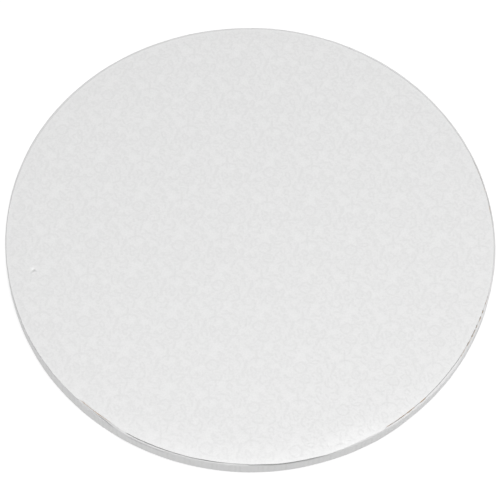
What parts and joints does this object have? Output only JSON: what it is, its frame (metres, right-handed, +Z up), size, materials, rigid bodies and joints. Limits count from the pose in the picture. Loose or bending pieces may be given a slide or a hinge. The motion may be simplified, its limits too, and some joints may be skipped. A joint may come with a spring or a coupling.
{
  "type": "cake board",
  "caption": "Round white cake board: corrugated plies wrapped by a gathered paper edge band, with an embossed top sheet and a plain base sheet.",
  "frame": {"origin": "middle of the underside, on the surface that the board lies on", "axes": "+Z up through the thickness, -Y towards the front of the picture, +X to its right"},
  "size_m": [0.3048, 0.3048, 0.0135],
  "materials": {
    "embossed_paper": "satin white, embossed",
    "band_paper": "smooth satin white",
    "plain_paper": "matt white",
    "corrugated_board": "matt brown board"
  },
  "bodies": {
    "root": {"top_sheet": "embossed_paper", "edge_band": "band_paper", "core_ply_1": "corrugated_board", "core_ply_2": "corrugated_board", "core_ply_3": "corrugated_board", "base_sheet": "plain_paper"}
  },
  "joints": []
}
